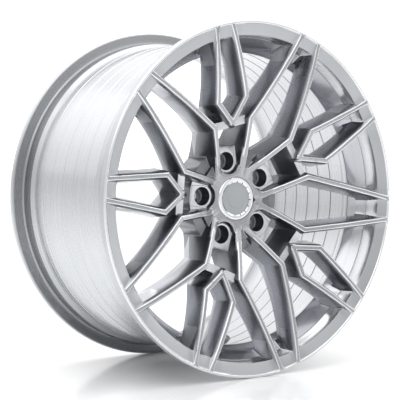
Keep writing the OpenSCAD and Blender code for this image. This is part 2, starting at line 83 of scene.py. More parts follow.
# Face: the lip, the band inside it, and the turned bowl, which falls by a power of the way in from the lip.
FRONT = -CAD_BOX[0].y
FLANGE_R = CAD_BOX[1].x
LIP_R = FLANGE_R - 4 * MM
BAND_R = LIP_R - 17.4 * MM
FLAT_R = 45 * MM
HUB_DROP = 55 * MM
FACE_CURVE = 1.9
# Back: the hub's mounting pad, and the spokes' backs, which fall from it by a power of their own.
PAD_R = 79 * MM
PAD_Y = -35 * MM
BACK_CURVE = 2.25
SPOKE_END_DEPTH = 37 * MM
# Hub: the boss's face and radius, the lug pockets' floors and half width, and the lug holes' circle.
BOSS_Y = -87 * MM
BOSS_R = 76 * MM
POCKET_Y = -80 * MM
POCKET_HALF = 22 * MM
LUG_R = 57.15 * MM
# Lug pads' rims: half the pad's width, how far they lie inside its round edge, and their arc round the hole.
PAD_HALF = 14.5 * MM
RIM_INSET = 2.2 * MM
HOLE_ARC_R = 16.2 * MM
# Bridges between the arms: their circle, half their reach, their depth behind the face and its spread.
BRIDGE_R = 113.6 * MM
BRIDGE_REACH = 12 * MM
BRIDGE_DEPTH = 9 * MM
BRIDGE_SPREAD = 3 * MM
# Lip: how far behind the front its bright cut reaches.
LIP_DEPTH = 2.5 * MM
# Tyre side: it starts this far outside the lip's radius, or this far behind the front on outward faces.
TYRE_SIDE_STEP = 2.5 * MM
TYRE_SIDE_DEPTH = 13 * MM
# Band: its greatest depth behind the face. The slope behind it lies deeper than a limit, outside a radius.
BAND_DEPTH = 8 * MM
SLOPE_DEPTH = 5.5 * MM
SLOPE_R = 215 * MM
# The slope's inner wall is what lies outside this radius and less than this deep behind the front.
INNER_WALL_R = 234 * MM
INNER_WALL_DEPTH = 31.5 * MM
# Draft strip: the share of a spoke's height that it takes up, from a radius out to a margin inside the band.
STRIP_SHARE = 0.275
STRIP_R = 100 * MM
STRIP_MARGIN = 19 * MM
# Turned skin: its depth, its inner radius, and the radius inside which rounded faces count as tops.
EDGE_DEPTH = 0.9 * MM
SKIN_R = 50 * MM
ROUND_R = 64 * MM
# Cosines of a face's angle: looking to the front, lying in the bowl, on a rounding, and on a chamfer.
FRONTAL = 0.9
LEVEL = 0.97
ROUNDED = 0.6
CHAMFERED = 0.15
# The floors of the cap ring's notches lie deeper than this behind its face, and inside this radius.
NOTCH_DEPTH = 1.55 * MM
NOTCH_R = 27.6 * MM
# Finishes of the forging's faces, in the order of its materials.
WALL, TOP, BAND, TYRE_SIDE, PAD, STRIP, EDGE, SLOPE, INNER = range(9)
# Painted shade on the walls: share of their colour kept by distance from the axle, darkest round the hub.
WALL_PAINTED_SHADE = ((0.04, 0.42), (0.085, 0.55), (0.13, 0.85), (0.18, 1.08), (0.235, 0.95))
# Painted shade on the barrel: share of its colour kept along the axle, darkest at the rear seat and the
# flange's wall.
BARREL_PAINTED_SHADE = (
    (-0.09, 1.0), (0.094, 1.0), (0.106, 0.86), (0.123, 0.55), (0.1285, 0.66), (0.131, 0.95), (0.142, 1.0))
# Brightness of what the metal mirrors, by height: least just above the horizon, most three quarters up.
# Rays that aren't mirrored meet an even white instead.
SKY = ((0.0, 1.1), (0.1, 0.95), (0.25, 0.95), (0.45, 1.4), (0.75, 1.7), (1.0, 1.4))
EVEN_WHITE = 1.6
# Lamps: name, place, width, height and power; each is turned to the wheel's middle.
LAMPS = (
    ("key", (-1.6, -1.9, 1.9), 1.6, 1.6, 7),
    ("overhead", (-0.2, 0.5, 2.2), 2.6, 2.6, 22),
    ("right_strip", (2.2, -0.9, 0.8), 0.5, 1.8, 5),
    ("back", (-1.4, 2.4, 1.2), 2.6, 1.6, 5),
)
# Camera: its angles, its place along its own right, up and forward ways in flange radii, and its lens.
CAMERA_AZIMUTH = math.radians(-34.81)
CAMERA_ELEVATION = math.radians(2.39)
CAMERA_PLACE = (-0.0151, -0.0194, -7.484)
CAMERA_LENS = 113.24


def linear(code):
    """An sRGB hex colour as the linear red, green, blue and alpha that shaders use."""
    channels = [int(code[i:i + 2], 16) / 255 for i in (1, 3, 5)]
    return [c / 12.92 if c <= 0.04045 else ((c + 0.055) / 1.055) ** 2.4 for c in channels] + [1.0]


def add(tree, kind, inputs=None, **settings):
    """Adds one node, with its settings, and its inputs set to values or linked from sockets."""
    node = tree.nodes.new(kind)
    for name, value in settings.items():
        setattr(node, name, value)
    for name, value in (inputs or {}).items():
        if isinstance(value, bpy.types.NodeSocket):
            tree.links.new(value, node.inputs[name])
        else:
            node.inputs[name].default_value = value
    return node


def new_material(name, **sockets):
    """A material with one surface shader whose own sockets hold the values given."""
    material = bpy.data.materials.new(name)
    material.use_nodes = True
    tree = material.node_tree
    tree.nodes.clear()
    shader = add(tree, "ShaderNodeBsdfPrincipled", {k.replace("_", " "): v for k, v in sockets.items()})
    output = add(tree, "ShaderNodeOutputMaterial")
    tree.links.new(shader.outputs[0], output.inputs["Surface"])
    return material, tree, shader


def radius_node(tree):
    """Sockets with a point's distance from the wheel's axle, in metres, and its place."""
    place = add(tree, "ShaderNodeTexCoord").outputs["Object"]
    flat = add(tree, "ShaderNodeVectorMath", {0: place, 1: (1, 0, 1)}, operation="MULTIPLY")
    return add(tree, "ShaderNodeVectorMath", {0: flat.outputs[0]}, operation="LENGTH").outputs["Value"], place


def varied(tree, factor, tone, spread):
    """A colour that runs with factor from tone less spread, a share of it, to tone plus spread."""
    dark = [c * (1 - spread) for c in tone[:3]] + [1]
    light = [min(c * (1 + spread), 1) for c in tone[:3]] + [1]
    return add(tree, "ShaderNodeMix", {0: factor, 6: dark, 7: light}, data_type="RGBA").outputs[2]


def with_painted_shade(tree, colour, place, shade_zones):
    """A colour times the share that the shade zones, pairs of place and share, give at a place: a painted
    shade.
    """
    first, last = shade_zones[0][0], shade_zones[-1][0]
    way = add(tree, "ShaderNodeMapRange", {0: place, 1: first, 2: last}).outputs[0]
    ramp = add(tree, "ShaderNodeValToRGB", {0: way})
    for _ in shade_zones[1:-1]:
        ramp.color_ramp.elements.new(0.5)
    for element, (at, keep) in zip(ramp.color_ramp.elements, shade_zones):
        element.position = (at - first) / (last - first)
        element.color = (keep, keep, keep, 1)
    return add(tree, "ShaderNodeMix", {0: 1.0, 6: colour, 7: ramp.outputs[0]},
               data_type="RGBA", blend_type="MULTIPLY").outputs[2]


def turned_metal(name, tone, spread, roughness, pitch, depth, shade_zones=None, **sockets):
    """Metal cut on a lathe: fine grooves round the axle, one every pitch, that vary in depth and shade.

    Shade zones are places along the axle with the share of the colour kept there, a painted shade.
    """
    material, tree, shader = new_material(name, Metallic=1.0, **sockets)
    radius, place = radius_node(tree)
    along = add(tree, "ShaderNodeSeparateXYZ", {0: place}).outputs["Y"]
    track = add(tree, "ShaderNodeMath", {0: along, 1: 0.8, 2: radius}, operation="MULTIPLY_ADD").outputs[0]
    groove = add(
        tree, "ShaderNodeTexNoise", {"W": track, "Scale": 1 / pitch, "Detail": 3.0, "Roughness": 0.6},
        noise_dimensions="1D").outputs[0]
    cloud = add(tree, "ShaderNodeTexNoise", {"Vector": place, "Scale": 9.0, "Detail": 2.0}).outputs[0]
    mixed = add(tree, "ShaderNodeMath", {0: groove, 1: cloud}, operation="MULTIPLY").outputs[0]
    shade = add(tree, "ShaderNodeMapRange", {0: mixed, 1: 0.12, 2: 0.42}).outputs[0]
    colour = varied(tree, shade, tone, spread)
    if shade_zones:
        colour = with_painted_shade(tree, colour, along, shade_zones)
    tree.links.new(colour, shader.inputs["Base Color"])
    rough = add(
        tree, "ShaderNodeMapRange", {0: groove, 1: 0.3, 2: 0.7, 3: roughness * 0.85, 4: roughness * 1.15})
    tree.links.new(rough.outputs[0], shader.inputs["Roughness"])
    bump = add(tree, "ShaderNodeBump", {"Strength": 0.35, "Distance": depth, "Height": groove})
    tree.links.new(bump.outputs[0], shader.inputs["Normal"])
    return material


def brushed_metal(name, tone, spread, roughness, grain, shade_zones=None, **sockets):
    """Metal rubbed lengthways under a clear lacquer: streaks along the radius and a soft cloud in the tint.

    Shade zones are distances from the axle with the share of the colour kept there, a painted shade.
    """
    material, tree, shader = new_material(name, Metallic=1.0, **sockets)
    radius, place = radius_node(tree)
    parts = add(tree, "ShaderNodeSeparateXYZ", {0: place}).outputs
    turn = add(tree, "ShaderNodeMath", {0: parts["Z"], 1: parts["X"]}, operation="ARCTAN2").outputs[0]
    across = add(tree, "ShaderNodeMath", {0: turn, 1: radius}, operation="MULTIPLY").outputs[0]
    slow = add(tree, "ShaderNodeMath", {0: radius, 1: 0.06}, operation="MULTIPLY").outputs[0]
    lane = add(tree, "ShaderNodeCombineXYZ", {0: across, 1: parts["Y"], 2: slow}).outputs[0]
    streak = add(tree, "ShaderNodeTexNoise", {"Vector": lane, "Scale": 1 / grain, "Detail": 3.0}).outputs[0]
    cloud = add(tree, "ShaderNodeTexNoise", {"Vector": place, "Scale": 14.0, "Detail": 2.0}).outputs[0]
    both = add(tree, "ShaderNodeMath", {0: streak, 1: cloud}, operation="ADD").outputs[0]
    shade = add(tree, "ShaderNodeMapRange", {0: both, 1: 0.7, 2: 1.3}).outputs[0]
    colour = varied(tree, shade, tone, spread)
    if shade_zones:
        colour = with_painted_shade(tree, colour, radius, shade_zones)
    tree.links.new(colour, shader.inputs["Base Color"])
    rough = add(
        tree, "ShaderNodeMapRange", {0: streak, 1: 0.3, 2: 0.7, 3: roughness * 0.88, 4: roughness * 1.12})
    tree.links.new(rough.outputs[0], shader.inputs["Roughness"])
    bump = add(tree, "ShaderNodeBump", {"Strength": 0.25, "Distance": 0.02 * MM, "Height": streak})
    tree.links.new(bump.outputs[0], shader.inputs["Normal"])
    return material


def moulded(name, tone, spread, roughness, grain, **sockets):
    """Moulded plastic or rubber: a fine grain and a slight change of shade."""
    material, tree, shader = new_material(name, Metallic=0.0, **sockets)
    place = add(tree, "ShaderNodeTexCoord").outputs["Object"]
    noise = add(tree, "ShaderNodeTexNoise", {"Vector": place, "Scale": 1 / grain, "Detail": 4.0}).outputs[0]
    tree.links.new(varied(tree, noise, tone, spread), shader.inputs["Base Color"])
    rough = add(tree, "ShaderNodeMapRange", {0: noise, 3: roughness * 0.85, 4: roughness * 1.15})
    tree.links.new(rough.outputs[0], shader.inputs["Roughness"])
    bump = add(tree, "ShaderNodeBump", {"Strength": 0.3, "Distance": 0.05 * MM, "Height": noise})
    tree.links.new(bump.outputs[0], shader.inputs["Normal"])
    return material


def dress(node, material):
    """Gives a CAD node its material."""
    if node not in NODES:
        raise RuntimeError(f"no node {node}")
    mesh = NODES[node].data
    mesh.materials.clear()
    mesh.materials.append(material)


def put_mesh(name, points, faces, materials, body):
    """Makes an object from arrays of points and faces, in place, riding on a body."""
    mesh = bpy.data.meshes.new(name)
    mesh.from_pydata(points.tolist(), [], faces)
    for material in materials:
        mesh.materials.append(material)
    mesh.validate()
    outward(mesh)
    piece = bpy.data.objects.new(name, mesh)
    bpy.context.scene.collection.objects.link(piece)
    mesh.shade_smooth()
    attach(piece, body)
    return piece


def face_depth(radius, y):
    """How far a point lies behind the turned face, a bowl that deepens by a power of the way in."""
    way = np.clip((radius - FLAT_R) / (LIP_R - FLAT_R), 0, 1)
    return y + FRONT - HUB_DROP * (1 - way) ** FACE_CURVE


def angle_from_lug(points):
    """Angle of each point from the nearest lug hole's line, which lies half a sector from a trunk."""
    sector = 2 * math.pi / SPOKE_COUNT
    turn = np.arctan2(points[:, 2], points[:, 0]) - PATTERN_TURN - sector / 2
    return turn - sector * np.round(turn / sector)


def lathe(radii, heights, count=192):
    """Points and faces of a profile carried once round the axle; both its ends are poles on the axle.

    A ring's point lies at radius times the cosine and sine of its angle, with its height along Y.
    """
    turn = np.linspace(0, 2 * math.pi, count, endpoint=False)
    ring_r, ring_y = np.array(radii[1:-1]), np.array(heights[1:-1])
    points = np.stack([
        ring_r[:, None] * np.cos(turn), np.broadcast_to(ring_y[:, None], (len(ring_r), count)),
        ring_r[:, None] * np.sin(turn)], axis=-1).reshape(-1, 3)
    points = np.vstack([points, [0, heights[0], 0], [0, heights[-1], 0]])
    here = np.arange(count)
    after = (here + 1) % count
    row = (np.arange(len(ring_r) - 1) * count)[:, None]
    quads = np.stack([row + here, row + after, row + after + count, row + here + count], axis=-1)
    first, last = len(points) - 2, len(points) - 1
    start = np.stack([np.full(count, first), after, here], axis=-1)
    base = (len(ring_r) - 1) * count
    end = np.stack([np.full(count, last), base + here, base + after], axis=-1)
    return points, quads.reshape(-1, 4).tolist() + start.tolist() + end.tolist()


def bead_round(path, radius, sides=10):
    """Points and faces of a round bead of one radius carried along a closed path in the plane of the wheel.

    A section's point is the path's point plus radius times a turn from the path's outward side to the front.
    """
    ahead = np.roll(path, -1, axis=0) - np.roll(path, 1, axis=0)
    ahead /= np.linalg.norm(ahead, axis=1)[:, None]
    side = np.cross(ahead, [0, 1, 0])
    turn = np.linspace(0, 2 * math.pi, sides, endpoint=False)
    across = side[:, None, :] * np.cos(turn)[None, :, None]
    ring = across + np.array([0, 1, 0]) * np.sin(turn)[None, :, None]
    points = (path[:, None, :] + radius * ring).reshape(-1, 3)
    row = (np.arange(len(path)) * sides)[:, None]
    next_row = (np.roll(np.arange(len(path)), -1) * sides)[:, None]
    here = np.arange(sides)[None, :]
    after = (here + 1) % sides
    faces = np.stack([row + here, next_row + here, next_row + after, row + after], axis=-1).reshape(-1, 4)
    return points, faces.tolist()


def outward(mesh):
    """Merges doubles and turns every face outwards."""
    work = bmesh.new()
    work.from_mesh(mesh)
    bmesh.ops.remove_doubles(work, verts=work.verts, dist=1e-6)
    bmesh.ops.recalc_face_normals(work, faces=work.faces)
    work.to_mesh(mesh)
    work.free()


def bowl_alignment(radius, centre, normal):
    """How squarely a face lies in the turned bowl: its normal times the bowl's own.

    The bowl's own normal comes from the slope of its power curve.
    """
    way = np.clip((radius - FLAT_R) / (LIP_R - FLAT_R), 0, 1)
    slope = -HUB_DROP * FACE_CURVE * (1 - way) ** (FACE_CURVE - 1) / (LIP_R - FLAT_R)
    radial = (normal[:, 0] * centre[:, 0] + normal[:, 2] * centre[:, 2]) / np.maximum(radius, MM)
    return (radial * slope - normal[:, 1]) / np.sqrt(1 + slope ** 2)


def back_height(radius, y):
    """Share of a spoke's height at which a point lies, from its back to its top.

    The back falls from the hub's pad by a power of the way out to the band.
    """
    way = np.clip((radius - PAD_R) / (BAND_R - PAD_R), 0, 1)
    back = -FRONT + SPOKE_END_DEPTH + (FRONT - SPOKE_END_DEPTH + PAD_Y) * (1 - way) ** BACK_CURVE
    top = y - face_depth(radius, y)
    return (back - y) / (back - top)


def merged_copy(node):
    """A copy of a CAD node's triangles, joined where their corners meet."""
    joined = bmesh.new()
    joined.from_mesh(NODES[node].data)
    bmesh.ops.remove_doubles(joined, verts=joined.verts, dist=2e-6)
    return joined


def build_centre(sizes, colours):
    """The forging with every sharp edge rounded over, and each face given the finish of its place."""
    joined = merged_copy("centre_forging")
    mesh = bpy.data.meshes.new("centre")
    joined.to_mesh(mesh)
    joined.free()
    blank = bpy.data.objects.new("centre_blank", mesh)
    bpy.context.scene.collection.objects.link(blank)
    bevel = blank.modifiers.new("rounded edges", "BEVEL")
    bevel.width = sizes.edge_round
    bevel.segments = 2
    bevel.limit_method = "ANGLE"
    bevel.angle_limit = math.radians(28)
    bevel.use_clamp_overlap = False
    final = bpy.data.meshes.new_from_object(blank.evaluated_get(bpy.context.evaluated_depsgraph_get()))
    bpy.data.objects.remove(blank)
    final.name = "centre"
    count = len(final.polygons)
    centre = np.empty(count * 3)
    final.polygons.foreach_get("center", centre)
    normal = np.empty(count * 3)
    final.polygons.foreach_get("normal", normal)
    centre = centre.reshape(-1, 3)
    normal = normal.reshape(-1, 3)
    radius = np.hypot(centre[:, 0], centre[:, 2])
    depth = face_depth(radius, centre[:, 1])
    front = -normal[:, 1]
    kind = np.full(count, WALL)
    radial = normal[:, 0] * centre[:, 0] + normal[:, 2] * centre[:, 2]
    outside = (radius > SLOPE_R) & (centre[:, 1] > -FRONT + TYRE_SIDE_DEPTH) & (radial > 0)
    kind[outside | (radius > LIP_R + TYRE_SIDE_STEP)] = TYRE_SIDE
    kind[(radius > BAND_R - 0.3 * MM) & (depth < BAND_DEPTH) & (front > 0.5)] = BAND
    across = radius * np.abs(np.sin(angle_from_lug(centre)))
    in_pocket = (radius < PAD_R + MM) & (across < POCKET_HALF)
    kind[in_pocket & (front > FRONTAL) & (np.abs(centre[:, 1] - POCKET_Y) < MM)] = PAD
    behind_band = (radius > SLOPE_R) & (radius < BAND_R) & (depth > SLOPE_DEPTH)
    slope = behind_band & ~outside & (radial < -0.2 * radius)
    kind[slope] = SLOPE
    # The slope's inner wall takes a lighter copy of the slope's tint, as painted light.
    kind[slope & (centre[:, 1] < -FRONT + INNER_WALL_DEPTH) & (radius > INNER_WALL_R)] = INNER
    on_bridge = (np.abs(radius - BRIDGE_R) < BRIDGE_REACH) & (np.abs(depth - BRIDGE_DEPTH) < BRIDGE_SPREAD)
    kind[on_bridge & (front > FRONTAL)] = PAD
    height = back_height(radius, centre[:, 1])
    on_spoke = (radius > STRIP_R) & (radius < BAND_R - STRIP_MARGIN) & ~outside
    foot = on_spoke & (height > 0) & (height < STRIP_SHARE)
    # The draft strips take a lighter copy of the walls' tint, as painted light.
    kind[foot & (np.abs(front) < ROUNDED) & (kind == WALL)] = STRIP
    level = bowl_alignment(radius, centre, normal)
    facing = np.maximum(level, front)
    on_boss = (radius < BOSS_R) & (centre[:, 1] < BOSS_Y + EDGE_DEPTH)
    skin = (radius > SKIN_R) & (depth < EDGE_DEPTH) | on_boss
    kind[skin & ((facing > LEVEL) | (radius < ROUND_R) & (facing > ROUNDED))] = TOP
    # Rounded edges take the bright edge colour: cut metal, and a painted highlight.
    kind[skin & (level > CHAMFERED) & (kind != TOP)] = EDGE
    kind[(radius > LIP_R - MM) & (centre[:, 1] < -FRONT + LIP_DEPTH)] = EDGE
    kind[centre[:, 1] > PAD_Y - 0.5 * MM] = WALL
    final.materials.clear()
    for material in colours:
        final.materials.append(material)
    final.polygons.foreach_set("material_index", kind)
    piece = bpy.data.objects.new("centre", final)
    bpy.context.scene.collection.objects.link(piece)
    final.shade_smooth()
    final.set_sharp_from_angle(angle=math.radians(24))
    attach(piece, "wheel")
    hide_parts("centre_forging")


def finish_colour(name, description, code):
    """A colour setting whose default is an sRGB hex colour."""
    return bpy.props.FloatVectorProperty(
        name=name, description=description, subtype="COLOR", size=3, min=0, max=1, default=linear(code)[:3])


class WheelColours(bpy.types.PropertyGroup):
    """Mean colours of the finishes; each material varies a little round its own."""

    wall: finish_colour("Spoke walls", "Tinted metal of the spokes' walls", "#9A9CA1")
    # Draft strips: the walls' tint a shade lighter, as painted light.
    strip: finish_colour("Draft strips", "Lower strips of the spokes' walls", "#A6A8AD")
    top: finish_colour("Spoke tops", "Lathe-cut metal of the spokes' tops and the hub", "#9C9EA1")
    edge: finish_colour("Edges", "Bright metal of the edges and the lip", "#D2D3D5")
    band: finish_colour("Band", "Tinted metal of the band inside the lip", "#A2A4A7")
    slope: finish_colour("Band's slope", "Tinted metal behind the band", "#ABADB1")
    inner: finish_colour("Band's inner wall", "Lighter tinted metal beside the slope", "#C4C6C9")
    pad: finish_colour("Lug pads", "Milled metal round the lug holes", "#C6C8CB")
    barrel: finish_colour("Barrel", "Silver paint of the barrel and the tyre side", "#BABCBF")
    seat: finish_colour("Lug seats", "Machined steel of the lug seats", "#A4A6A9")
    cap_ring: finish_colour("Cap ring", "Bright plating of the cap's ring", "#D8D9DB")
    cap_disc: finish_colour("Cap disc", "Satin metal of the cap's disc", "#A0A4A6")
    valve: finish_colour("Valve", "Anodised metal of the tyre valve", "#838589")
    floor: finish_colour("Floor", "Acrylic sheet of the studio floor", "#ECECED")


class WheelSizes(bpy.types.PropertyGroup):
    """Sizes of the looks."""

    edge_round: bpy.props.FloatProperty(
        name="Edge rounding", description="Width of the rounding on the forging's edges",
        default=1.0 * MM, min=0.1 * MM, max=2 * MM, unit="LENGTH")
    floor_size: bpy.props.FloatProperty(
        name="Floor", description="Half the width of the studio floor", default=14.0, unit="LENGTH")


class WHEEL_OT_centre(bpy.types.Operator):
    """Round the forging's edges and finish its faces"""

    bl_idname = "wheel.centre"
    bl_label = "Centre forging"

    def execute(self, context):
        tones = context.scene.wheel_colours
        # Walls: forged aluminium, brushed and tinted under gloss lacquer; dark grey with a soft sheen, and a
        # painted shade darkest round the hub.
        wall = brushed_metal("tinted_brushed_aluminium_painted_shade", tones.wall, 0.22, 0.3, 1.6 * MM, shade_zones=WALL_PAINTED_SHADE,
                             Coat_Weight=0.5, Coat_Roughness=0.08)
        # Tops: cut on a lathe and lightly tinted; silver grey.
        top = turned_metal("lathe_cut_aluminium", tones.top, 0.1, 0.25, 0.5 * MM, 0.01 * MM,
                           Coat_Weight=0.3, Coat_Roughness=0.05)
        # Edges and lip: lathe-cut and left bright, the rounded edges lighter still as a painted highlight;
        # almost white where it faces a lamp.
        edge = turned_metal("bright_cut_aluminium_and_painted_highlight", tones.edge, 0.08, 0.2, 0.5 * MM, 0.01 * MM)
        # Strip at the foot of a spoke's wall: the same tint, a shade lighter as painted light.
        strip = brushed_metal("tinted_draft_aluminium_painted_light", tones.strip, 0.16, 0.3, 1.6 * MM,
                              Coat_Weight=0.5, Coat_Roughness=0.08)
        # Band: the same tint over a turned face, a little lighter than the walls.
        band = turned_metal("tinted_turned_aluminium", tones.band, 0.09, 0.36, 1.2 * MM, 0.003 * MM,
                            Coat_Weight=0.4, Coat_Roughness=0.1)
        # Slope behind the band: turned and tinted under gloss lacquer; it mirrors in streaks.
        slope = turned_metal("tinted_gloss_aluminium", tones.slope, 0.11, 0.2, 3.0 * MM, 0.003 * MM,
                             Coat_Weight=0.6, Coat_Roughness=0.05)
        # Inner wall of the band: the same turned tint, lighter as painted light.
        inner = turned_metal("tinted_aluminium_painted_light", tones.inner, 0.11, 0.26, 2.0 * MM, 0.003 * MM,
                             Coat_Weight=0.4, Coat_Roughness=0.08)
        # Tyre side: silver paint over the forging, in the barrel's colour.
        tyre_side = turned_metal("silver_painted_aluminium", tones.barrel, 0.14, 0.4, 2.0 * MM, 0.01 * MM)
        # Lug pads: milled flat, then tinted; a light satin grey.
        pad = brushed_metal("milled_aluminium", tones.pad, 0.12, 0.36, 2.2 * MM,
                            Coat_Weight=0.3, Coat_Roughness=0.12)
        build_centre(context.scene.wheel_sizes, [wall, top, band, tyre_side, pad, strip, edge, slope, inner])
        return {"FINISHED"}


class WHEEL_OT_barrel(bpy.types.Operator):
    """Finish the barrel and its weld"""

    bl_idname = "wheel.barrel"
    bl_label = "Barrel"

    def execute(self, context):
        tones = context.scene.wheel_colours
        # Barrel: spun aluminium, turned and painted light silver; bright with fine rings, and a painted shade
        # darkest at the rear seat and the flange's wall.
        # Its turning marks are drawn 5 mm apart, far coarser than a real cut.
        silver = turned_metal("turned_silver_aluminium", tones.barrel, 0.05, 0.26, 5.0 * MM, 0.001 * MM,
                              shade_zones=BARREL_PAINTED_SHADE, Coat_Weight=0.4, Coat_Roughness=0.12)
        dress("rim_barrel", silver)
        dress("seam_weld", turned_metal("dressed_weld", linear("#AFB1B4"), 0.2, 0.45, 1.0 * MM, 0.05 * MM))
        return {"FINISHED"}


class WHEEL_OT_lugs(bpy.types.Operator):
    """Finish the lug seats and the centring ring"""

    bl_idname = "wheel.lugs"
    bl_label = "Lug seats and hub ring"

    def execute(self, context):
        tones = context.scene.wheel_colours
        # Seats: machined steel inserts; mid grey, a little darker than the pads.
        steel = turned_metal("machined_steel", tones.seat, 0.15, 0.3, 0.4 * MM, 0.01 * MM)
        for number in range(1, SPOKE_COUNT + 1):
            dress(f"lug_seat_{number}", steel)
        # Ring: moulded nylon; flat black.
        dress("hub_ring", moulded("black_nylon", linear("#212224"), 0.25, 0.5, 0.6 * MM))
        return {"FINISHED"}


def pad_outline(steps=24):
    """A lug pad's outline in the lug's own frame.

    It runs along the pad's round edge, two straight sides and an arc round the hole.
    """
    edge_r = PAD_R - RIM_INSET
    half_turn = math.atan2(PAD_HALF, PAD_R - 3 * MM)
    outer = np.linspace(-half_turn, half_turn, steps)
    far = np.stack([edge_r * np.cos(outer), edge_r * np.sin(outer)], axis=1)
    inner = np.linspace(math.radians(100), math.radians(260), steps)
    near = np.stack([LUG_R + HOLE_ARC_R * np.cos(inner), HOLE_ARC_R * np.sin(inner)], axis=1)
    outline = np.vstack([far, near])
    closed = np.vstack([outline, outline[:1]])
    length = np.concatenate([[0], np.cumsum(np.linalg.norm(np.diff(closed, axis=0), axis=1))])
    even = np.linspace(0, length[-1], 120, endpoint=False)
    return np.stack([np.interp(even, length, closed[:, 0]), np.interp(even, length, closed[:, 1])], axis=1)


class WHEEL_OT_pad_rims(bpy.types.Operator):
    """Raise the thin bright rim round each lug pad"""

    bl_idname = "wheel.pad_rims"
    bl_label = "Lug pad rims"

    def execute(self, context):
        # Rims: thin raised edges round the pads, their bright tone a painted highlight.
        tone = context.scene.wheel_colours.edge
        bright = turned_metal("painted_highlight_rim_aluminium", tone, 0.14, 0.25, 0.8 * MM, 0.005 * MM)
        outline = pad_outline()
        for number in range(SPOKE_COUNT):
            turn = PATTERN_TURN + 2 * math.pi / SPOKE_COUNT * (number + 0.5)
            spin = np.array([[math.cos(turn), math.sin(turn)], [-math.sin(turn), math.cos(turn)]])
            flat = outline @ spin
            path = np.stack([flat[:, 0], np.full(len(flat), POCKET_Y - 0.1 * MM), flat[:, 1]], axis=1)
            points, faces = bead_round(path, 0.55 * MM)
            rim = put_mesh(f"lug_pad_rim_{number + 1}", points, faces, [bright], "wheel")
        return {"FINISHED"}


def shade_notches(material, node):
    """Painted shade in the notches of the cap's ring: black where a face lies deep and near the disc."""
    tree = material.node_tree
    shader = next(n for n in tree.nodes if n.type == "BSDF_PRINCIPLED")
    plating = shader.inputs["Base Color"].links[0].from_socket
    radius, place = radius_node(tree)
    along = add(tree, "ShaderNodeSeparateXYZ", {0: place}).outputs["Y"]
    deep = add(tree, "ShaderNodeMath", {0: along, 1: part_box(node)[0].y + NOTCH_DEPTH},
               operation="GREATER_THAN")
    near = add(tree, "ShaderNodeMath", {0: radius, 1: NOTCH_R}, operation="LESS_THAN")
    both = add(tree, "ShaderNodeMath", {0: deep.outputs[0], 1: near.outputs[0]}, operation="MULTIPLY")
    mixed = add(
        tree, "ShaderNodeMix", {0: both.outputs[0], 6: plating, 7: linear("#1E1F21")}, data_type="RGBA")
    tree.links.new(mixed.outputs[2], shader.inputs["Base Color"])


def build_cap_face(material):
    """The cap's blank disc: a lathe profile with two fine grooves and a shallow dish between them."""
    low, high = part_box("cap_disc")
    edge = high.x
    front, back = low.y, high.y
    groove = 0.35 * MM
    radii = [0, 4, 14.2, 14.5, 14.8, 15.1, 15.6, 20.4, 20.9, 21.2, 21.5, 21.8, 23.0]
    depths = [0, 0, 0, 1, 1, 0.4, 0.35, 0.35, 0.4, 1, 1, 0, 0]
    profile_r = [r * MM for r in radii] + [edge - 0.3 * MM, edge, edge, 0]
    profile_y = [front + groove * d for d in depths] + [front, front + 0.3 * MM, back, back]
    points, faces = lathe(profile_r, profile_y)
    face = put_mesh("cap_face", points, faces, [material], "centre_cap")
    face.data.set_sharp_from_angle(angle=math.radians(35))
    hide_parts("cap_disc")


class WHEEL_OT_cap(bpy.types.Operator):
    """Finish the centre cap"""

    bl_idname = "wheel.cap"
    bl_label = "Centre cap"

    def execute(self, context):
        tones = context.scene.wheel_colours
        # Trim ring: bright plated plastic.
        plate = turned_metal("bright_chrome_plate", tones.cap_ring, 0.1, 0.12, 0.6 * MM, 0.005 * MM)
        # Painted shade: black in the ring's notches.
        shade_notches(plate, "cap_trim_ring")
        dress("cap_trim_ring", plate)
        # Disc: anodised aluminium, satin grey.
        satin = turned_metal("satin_anodised_aluminium", tones.cap_disc, 0.1, 0.38, 0.5 * MM, 0.01 * MM)
        build_cap_face(satin)
        # Body: moulded plastic, matte black.
        dress("cap_body", moulded("black_plastic", linear("#333437"), 0.25, 0.45, 0.8 * MM))
        # Wire ring: spring steel.
        wire = turned_metal("spring_steel", linear("#7E8084"), 0.25, 0.3, 0.3 * MM, 0.005 * MM)
        dress("cap_wire_ring", wire)
        return {"FINISHED"}


def build_core_spring(material):
    """The valve core's coil, from a merged copy of its CAD node's triangles."""
    joined = merged_copy("valve_core_spring")
    mesh = bpy.data.meshes.new("core_spring")
    joined.to_mesh(mesh)
    joined.free()
    mesh.materials.clear()
    mesh.materials.append(material)
    mesh.shade_smooth()
    piece = bpy.data.objects.new("core_spring", mesh)
    bpy.context.scene.collection.objects.link(piece)
    flat = np.empty(len(mesh.vertices) * 3)
    mesh.vertices.foreach_get("co", flat)
    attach(piece, "wheel")
    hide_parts("valve_core_spring")
    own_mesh(piece)


